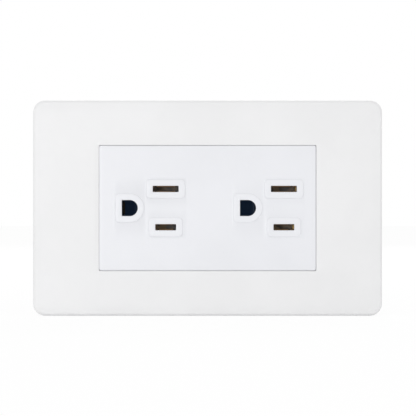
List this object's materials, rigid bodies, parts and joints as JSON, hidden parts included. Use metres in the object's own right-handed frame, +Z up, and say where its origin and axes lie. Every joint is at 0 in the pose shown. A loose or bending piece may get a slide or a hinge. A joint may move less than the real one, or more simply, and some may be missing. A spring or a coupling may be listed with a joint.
{
  "type": "duplex wall outlet",
  "caption": "Grounded duplex wall outlet: one landscape module with two sockets in a clip-on cover plate, on a mounting frame with captive box screws and rear clamp terminals.",
  "frame": {"origin": "centre of the mounting frame on the wall surface, midway between the two box screws", "axes": "+Z up, +X to the right seen from the room, +Y into the wall; the front faces -Y"},
  "size_m": [0.116, 0.0307, 0.0716],
  "materials": {
    "cover": "satin white moulding",
    "frame": "matt white moulding",
    "face": "satin cool-white moulding",
    "base": "matt dark thermoset",
    "contact_brass": "rolled brass strip",
    "rivet": "headed brass",
    "silver_screw": "nickel plated",
    "brass_screw": "yellow brass plated",
    "green_screw": "green passivated",
    "clamp_steel": "zinc plated",
    "zinc_steel": "bright zinc plated",
    "fibre": "vulcanised fibre"
  },
  "bodies": {
    "device": {"ground_clip_left": "contact_brass", "ground_clip_right": "contact_brass", "ground_rivets": "rivet", "ground_strap": "contact_brass", "hot_busbar": "contact_brass", "hot_clip_left": "contact_brass", "hot_clip_right": "contact_brass", "hot_rivets": "rivet", "housing_screws": "zinc_steel", "module_base": "base", "module_face": "face", "mounting_frame": "frame", "neutral_busbar": "contact_brass", "neutral_clip_left": "contact_brass", "neutral_clip_right": "contact_brass", "neutral_rivets": "rivet"},
    "cover": {"cover_plate": "cover"},
    "neutral_left_screw": {"neutral_screw_left": "silver_screw"},
    "neutral_left_clamp": {"neutral_clamp_left": "clamp_steel"},
    "neutral_right_screw": {"neutral_screw_right": "silver_screw"},
    "neutral_right_clamp": {"neutral_clamp_right": "clamp_steel"},
    "hot_left_screw": {"hot_screw_left": "brass_screw"},
    "hot_left_clamp": {"hot_clamp_left": "clamp_steel"},
    "hot_right_screw": {"hot_screw_right": "brass_screw"},
    "hot_right_clamp": {"hot_clamp_right": "clamp_steel"},
    "ground_screw": {"ground_screw": "green_screw"},
    "ground_clamp": {"ground_clamp": "clamp_steel"},
    "left_retainer": {"screw_retainer_left": "fibre"},
    "left_mounting_screw": {"mounting_screw_left": "zinc_steel"},
    "right_retainer": {"screw_retainer_right": "fibre"},
    "right_mounting_screw": {"mounting_screw_right": "zinc_steel"}
  },
  "joints": [
    {"name": "cover_unclip", "type": "slide", "parent": "device", "child": "cover", "axis": [0, -1, 0], "range_m": [0, 0.025]},
    {"name": "neutral_left_screw_turn", "type": "hinge", "parent": "device", "child": "neutral_left_screw", "pos_m": [-0.00308, 0.0109, 0.0193], "axis": [0, 0, -1], "range_deg": [0, 1440]},
    {"name": "neutral_left_clamp_rise", "type": "slide", "parent": "device", "child": "neutral_left_clamp", "axis": [0, 0, 1], "range_m": [0, 0.0024]},
    {"name": "neutral_right_screw_turn", "type": "hinge", "parent": "device", "child": "neutral_right_screw", "pos_m": [0.01392, 0.0109, 0.0193], "axis": [0, 0, -1], "range_deg": [0, 1440]},
    {"name": "neutral_right_clamp_rise", "type": "slide", "parent": "device", "child": "neutral_right_clamp", "axis": [0, 0, 1], "range_m": [0, 0.0024]},
    {"name": "hot_left_screw_turn", "type": "hinge", "parent": "device", "child": "hot_left_screw", "pos_m": [-0.00308, 0.0109, -0.0193], "axis": [0, 0, 1], "range_deg": [0, 1440]},
    {"name": "hot_left_clamp_rise", "type": "slide", "parent": "device", "child": "hot_left_clamp", "axis": [0, 0, -1], "range_m": [0, 0.0024]},
    {"name": "hot_right_screw_turn", "type": "hinge", "parent": "device", "child": "hot_right_screw", "pos_m": [0.01392, 0.0109, -0.0193], "axis": [0, 0, 1], "range_deg": [0, 1440]},
    {"name": "hot_right_clamp_rise", "type": "slide", "parent": "device", "child": "hot_right_clamp", "axis": [0, 0, -1], "range_m": [0, 0.0024]},
    {"name": "ground_screw_turn", "type": "hinge", "parent": "device", "child": "ground_screw", "pos_m": [-0.02761, 0.0109, 0.0193], "axis": [0, 0, -1], "range_deg": [0, 1440]},
    {"name": "ground_clamp_rise", "type": "slide", "parent": "device", "child": "ground_clamp", "axis": [0, 0, 1], "range_m": [0, 0.0024]},
    {"name": "left_screw_level", "type": "slide", "parent": "device", "child": "left_retainer", "axis": [0, 0, 1], "range_m": [-0.00225, 0.00225]},
    {"name": "left_screw_turn", "type": "hinge", "parent": "left_retainer", "child": "left_mounting_screw", "pos_m": [-0.04175, 0, 0], "axis": [0, -1, 0], "continuous": true},
    {"name": "right_screw_level", "type": "slide", "parent": "device", "child": "right_retainer", "axis": [0, 0, 1], "range_m": [-0.00225, 0.00225]},
    {"name": "right_screw_turn", "type": "hinge", "parent": "right_retainer", "child": "right_mounting_screw", "pos_m": [0.04175, 0, 0], "axis": [0, -1, 0], "continuous": true}
  ],
  "couplings": [
    {"joint": "neutral_left_screw_turn", "follows": "neutral_left_clamp_rise", "rad_per_m": 10472},
    {"joint": "neutral_right_screw_turn", "follows": "neutral_right_clamp_rise", "rad_per_m": 10472},
    {"joint": "hot_left_screw_turn", "follows": "hot_left_clamp_rise", "rad_per_m": 10472},
    {"joint": "hot_right_screw_turn", "follows": "hot_right_clamp_rise", "rad_per_m": 10472},
    {"joint": "ground_screw_turn", "follows": "ground_clamp_rise", "rad_per_m": 10472}
  ]
}
